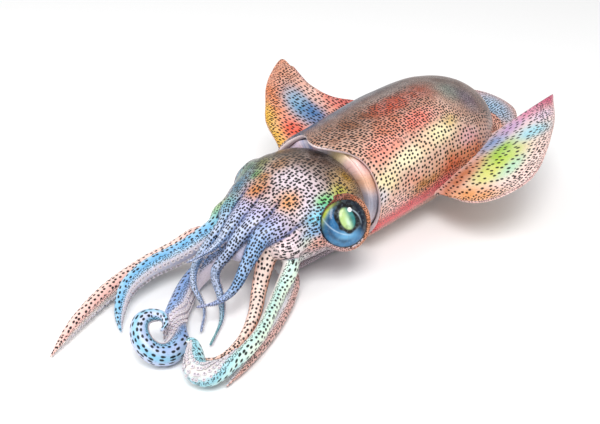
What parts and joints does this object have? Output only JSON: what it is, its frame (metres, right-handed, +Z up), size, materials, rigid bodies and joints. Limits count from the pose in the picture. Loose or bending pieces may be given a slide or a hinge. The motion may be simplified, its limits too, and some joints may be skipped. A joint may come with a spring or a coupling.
{
  "type": "whole raw squid",
  "caption": "Whole raw squid lying on its belly: stout mantle, wavy side fins, large eyes, fanned arms and two longer tentacles, one of them coiled at the end.",
  "frame": {"origin": "on the table below the middle of the whole animal's bounding box", "axes": "+X towards the tail along the body, +Y towards the animal's right side, +Z up"},
  "size_m": [0.4046, 0.205, 0.0832],
  "materials": {
    "mantle_skin": "wet, spotted",
    "fin_skin": "wet, spotted, translucent at the edge",
    "neck_flesh": "wet",
    "head_skin": "wet, spotted",
    "eye": "wet, glassy",
    "arm_skin": "wet, spotted",
    "tentacle_skin": "wet, spotted"
  },
  "bodies": {
    "root": {"mantle": "mantle_skin", "fin_left": "fin_skin", "fin_right": "fin_skin", "neck": "neck_flesh", "funnel": "neck_flesh", "head": "head_skin", "eye_left": "eye", "eye_right": "eye", "arm_right_1": "arm_skin", "arm_right_2": "arm_skin", "arm_right_3": "arm_skin", "arm_right_4": "arm_skin", "arm_left_1": "arm_skin", "arm_left_2": "arm_skin", "arm_left_3": "arm_skin", "arm_left_4": "arm_skin", "tentacle_left": "tentacle_skin", "tentacle_right": "tentacle_skin"}
  },
  "joints": []
}
